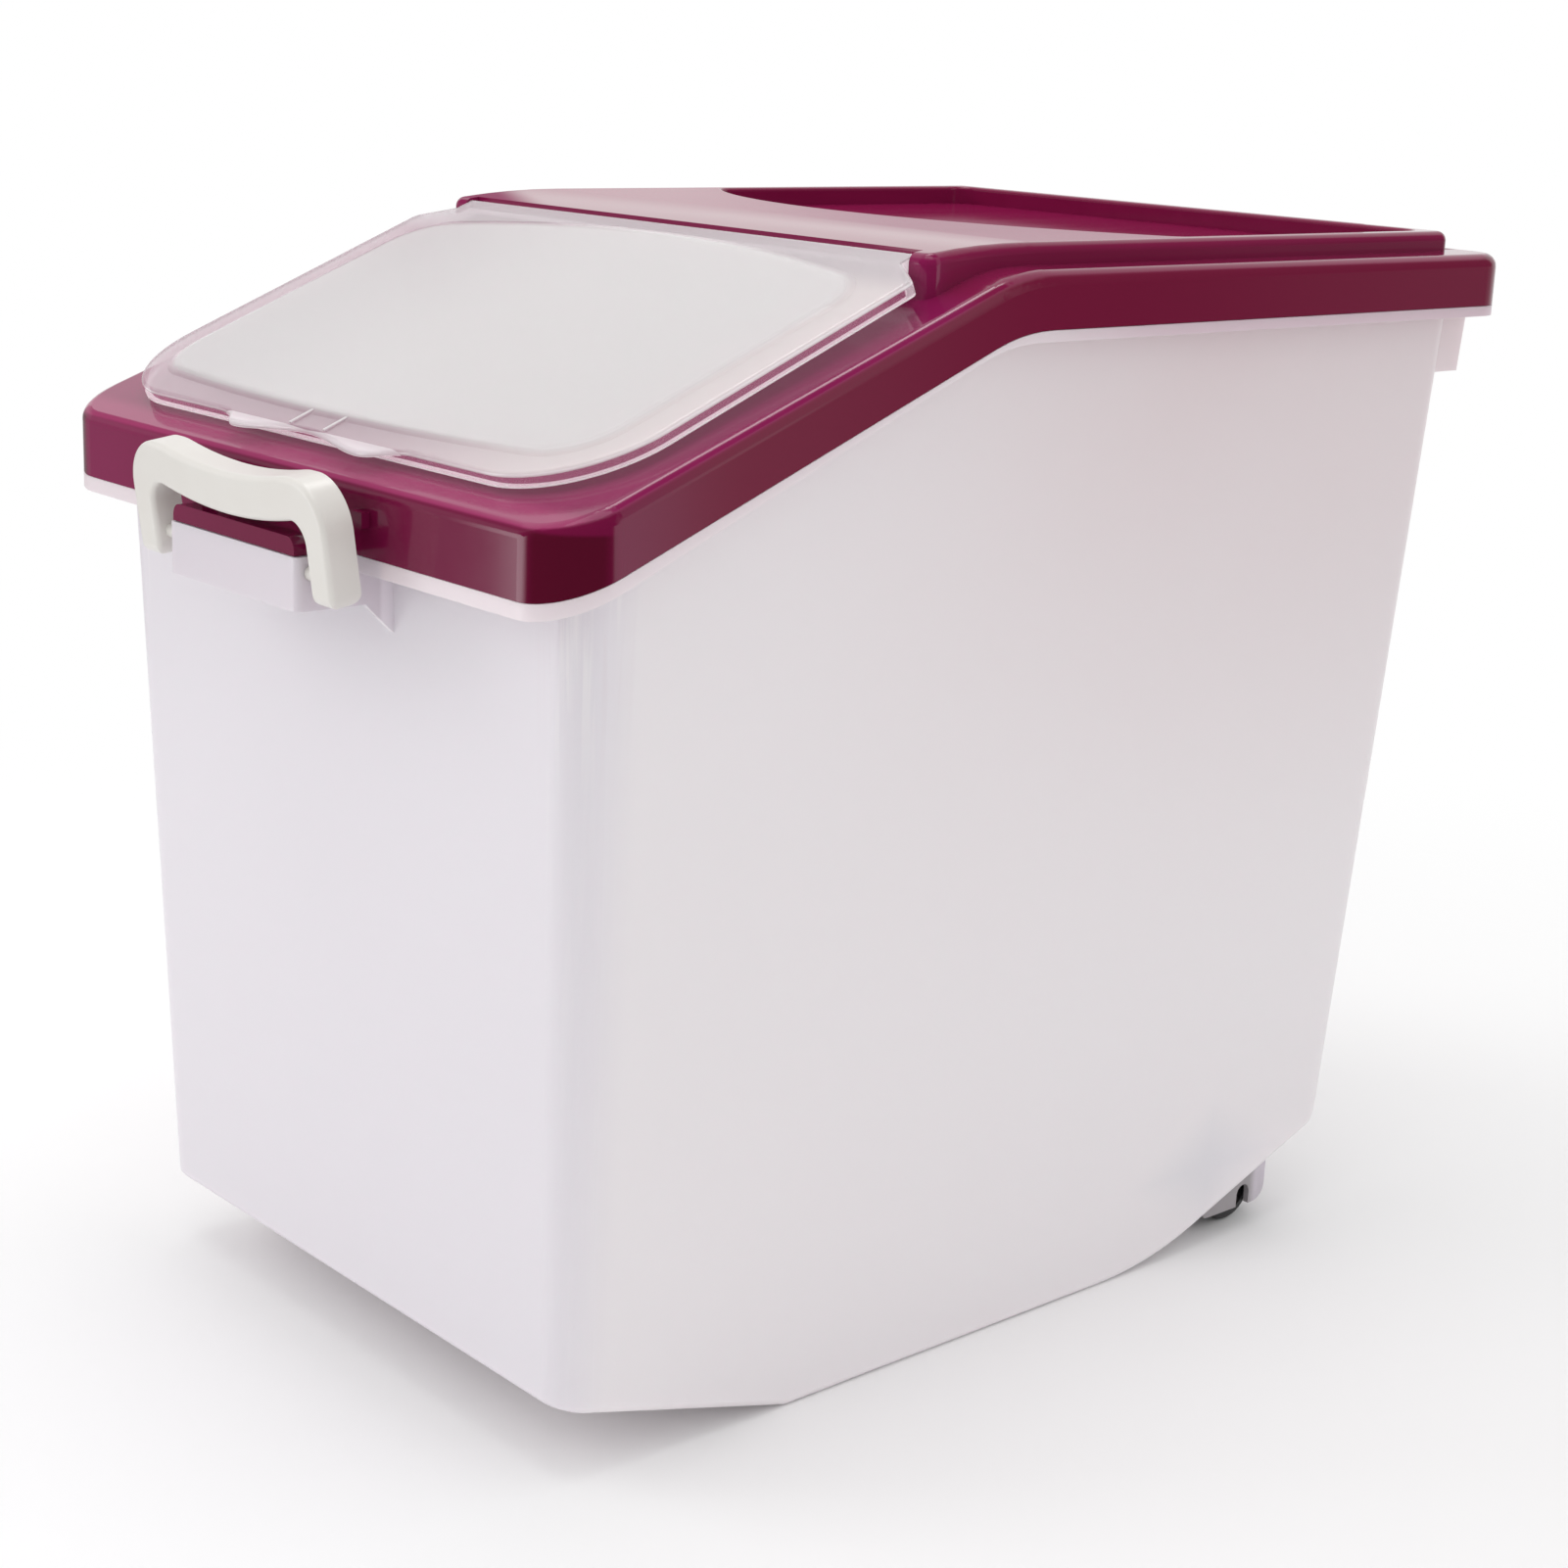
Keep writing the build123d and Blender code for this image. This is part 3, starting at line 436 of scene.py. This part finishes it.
def surface(name, points):
    """A mesh over a grid of points, given as an array of rows, columns and coordinates."""
    rows, columns = points.shape[:2]
    corner = np.arange(rows * columns).reshape(rows, columns)
    quads = np.stack([corner[:-1, :-1], corner[:-1, 1:], corner[1:, 1:], corner[1:, :-1]], -1)
    mesh = bpy.data.meshes.new(name)
    mesh.from_pydata(points.reshape(-1, 3).tolist(), [], quads.reshape(-1, 4).tolist())
    piece = bpy.data.objects.new(name, mesh)
    bpy.context.scene.collection.objects.link(piece)
    return piece


def level_sheet(x_ends, y_ends, z):
    """Points of a level sheet between two ends in x and two in y."""
    across, lengthways = np.meshgrid(x_ends, y_ends)
    return np.stack([across, lengthways, np.full((2, 2), z)], -1)


def upright_sheet(bearings, levels):
    """Points of an upright sheet bent round the bin, between two bearings in degrees and two levels."""
    bearing = np.radians(np.linspace(*bearings, CARD_COLUMNS))[None, :]
    x, y = CARD_RADIUS * np.cos(bearing), CARD_RADIUS * np.sin(bearing)
    return np.stack(np.broadcast_arrays(x, y, np.array(levels)[:, None]), -1)


def white_floor():
    """A pale floor: it takes the bin's shadow near the bin and runs out to plain white."""
    ends = (-FLOOR_REACH, FLOOR_REACH)
    floor = surface("floor", level_sheet(ends, ends, 0.0))
    material, place = new_material("floor_white")
    tree = place.tree
    length = {"operation": "LENGTH"}
    distance = add(tree, "ShaderNodeVectorMath", length, [place], output="Value")
    far = rise(distance, 0.35, 0.9) * seen_rays(tree)
    matte = add(tree, "ShaderNodeBsdfDiffuse", None, {"Color": (0.92, 0.92, 0.92, 1)})
    glow = add(tree, "ShaderNodeEmission", None, {"Color": (1, 1, 1, 1), "Strength": 1.0})
    add_output(add(tree, "ShaderNodeMixShader", None, [far, matte, glow]))
    floor.data.materials.append(material)


def card(name, points, tone):
    """A card seen only in reflections, with a tone that follows its place."""
    sheet = surface(name, points)
    for ray in ("camera", "diffuse", "transmission", "volume_scatter", "shadow"):
        setattr(sheet, f"visible_{ray}", False)
    material, place = new_material(f"{name}_tone")
    inputs = {"Color": tone(*axes(place)), "Strength": 1.0}
    add_output(add(place.tree, "ShaderNodeEmission", None, inputs))
    sheet.data.materials.append(material)


def bearing_of(x, y):
    """The bearing of a place in degrees, from -180 to 180."""
    return y.math("ARCTAN2", x) * degrees(1)


def wall_tone(x, y, z):
    """Low down: dim at the left, a bright strip, black in front, then white that fades along the right
    side and comes back behind it. Higher up it is white, but dim at the left, black in front and dim at
    the right, and all three fade out towards its top."""
    turn = bearing_of(x, y)
    left = 0.42 + 3.5 * rise(turn, -130.7, -128.1)
    front = left - 3.90 * rise(turn, -118, -106) + 1.55 * rise(turn, 3, 9.5)
    side = front - 0.90 * rise(turn, 24, 29.5) - 0.55 * rise(turn, 29, 41)
    low = side + 0.20 * rise(turn, 42, 56) + 0.58 * rise(turn, 60, 78)
    left_dim = (0.45 + 0.35 * rise(z, 0.6, 0.8)) * fall(turn, -131, -124) * fall(z, 1.0, 1.3)
    front_dim = 0.97 * band(turn, (-131, -120), (0, 12)) * fall(z, 1.2, 1.9)
    right_dim = 0.85 * band(turn, (24, 42), (66, 80)) * fall(z, 1.0, 1.6)
    high = 1 - left_dim - front_dim - right_dim
    above = rise(z, 0.43, 0.47)
    return low * (1 - above) + high * above


def deck_tone(x, y, z):
    """Rose low down and white above, dim at its left end, and plain white at its top."""
    deep_rose, pale_rose, left_end = (0.62, 0.46, 0.51), (0.77, 0.63, 0.66), (0.42, 0.19, 0.28)
    warm_white, plain_white = (1.12, 1.09, 1.08), (1.0, 1.0, 1.0)
    turn = bearing_of(x, y)
    rose = mix_colours(rise(turn, 133, 144), deep_rose, pale_rose)
    tone = mix_colours(rise(z, 0.45, 0.57), rose, warm_white)
    tone = mix_colours(rise(turn, 149.3, 151.3), tone, left_end)
    return mix_colours(rise(z, 0.70, 0.90), tone, plain_white)


def overhead_tone(x, y, _):
    """A bright sheet that draws a thin light along the upper edges, and a dark one beside it."""
    bright = band(x, (-0.85, -0.70), (-0.35, -0.20))
    dark = band(x, (-0.15, 0.0), (0.65, 0.80))
    return 1 + (5 * bright - 0.9 * dark) * band(y, (-0.10, 0.10), (0.65, 0.85))


def white_world():
    """White all round for the rays that see it, and a plain level of light for the object."""
    world = bpy.data.worlds.new("studio")
    world.use_nodes = True
    tree = world.node_tree
    tree.nodes.clear()
    strength = WORLD_LEVEL + (1 - WORLD_LEVEL) * seen_rays(tree)
    inputs = {"Color": (1, 1, 1, 1), "Strength": strength}
    light = add(tree, "ShaderNodeBackground", None, inputs)
    node = tree.nodes.new("ShaderNodeOutputWorld")
    tree.links.new(light.socket, node.inputs["Surface"])
    bpy.context.scene.world = world


def softbox(name, place, aim, size, power):
    """A soft area lamp turned to its aim, with its power in watts."""
    lamp = bpy.data.lights.new(name, "AREA")
    lamp.shape = "RECTANGLE"
    lamp.size, lamp.size_y = size
    lamp.energy = power
    item = bpy.data.objects.new(name, lamp)
    item.location = place
    item.rotation_euler = (Vector(aim) - Vector(place)).to_track_quat("-Z", "Y").to_euler()
    bpy.context.scene.collection.objects.link(item)


def photo_camera():
    """The fitted camera: its axes from azimuth, elevation and roll."""
    azimuth, elevation, roll = CAMERA_AZIMUTH, CAMERA_ELEVATION, CAMERA_ROLL
    level = Vector((cos(azimuth), sin(azimuth), 0))
    back = Vector((sin(azimuth) * cos(elevation), -cos(azimuth) * cos(elevation), sin(elevation)))
    upright = back.cross(level)
    right = cos(roll) * level + sin(roll) * upright
    up = cos(roll) * upright - sin(roll) * level
    data = bpy.data.cameras.new("camera")
    data.sensor_width = SENSOR
    data.lens = FOCAL_PIXELS * SENSOR / IMAGE_SIZE
    camera = bpy.data.objects.new("camera", data)
    turn = Matrix((right, up, back)).transposed().to_4x4()
    camera.matrix_world = Matrix.Translation(CAMERA_PLACE) @ turn
    bpy.context.scene.collection.objects.link(camera)
    bpy.context.scene.camera = camera


dress("tub", milky_tub())
dress("lid", burgundy_lid())
dress("flap", scoop_flap())
dress("latch_handle", ivory_latch())
housing, wheel, axle = shaded_housing(), dark_wheel(), axle_steel()
for side in ("right", "left"):
    dress(f"wheel_housing_{side}", housing)
    dress(f"wheel_{side}", wheel)
    dress(f"wheel_axle_{side}", axle)

photo_camera()
white_floor()
card("wall_card", upright_sheet(bearings=(-179, 80), levels=(0.02, 1.9)), wall_tone)
card("deck_card", upright_sheet(bearings=(115, 165), levels=(0.425, 0.9)), deck_tone)
card("overhead_card", level_sheet(x_ends=(-0.85, 0.80), y_ends=(-0.10, 0.85), z=2.0), overhead_tone)
white_world()
softbox("overhead", place=(0.1, -0.2, 2.4), aim=(0, 0, 0.3), size=(1.6, 1.6), power=12)
softbox("front_left", place=(-1.4, -1.5, 1.3), aim=(0, 0, 0.25), size=(1.2, 1.2), power=9)

bpy.context.scene.view_settings.view_transform = "Standard"
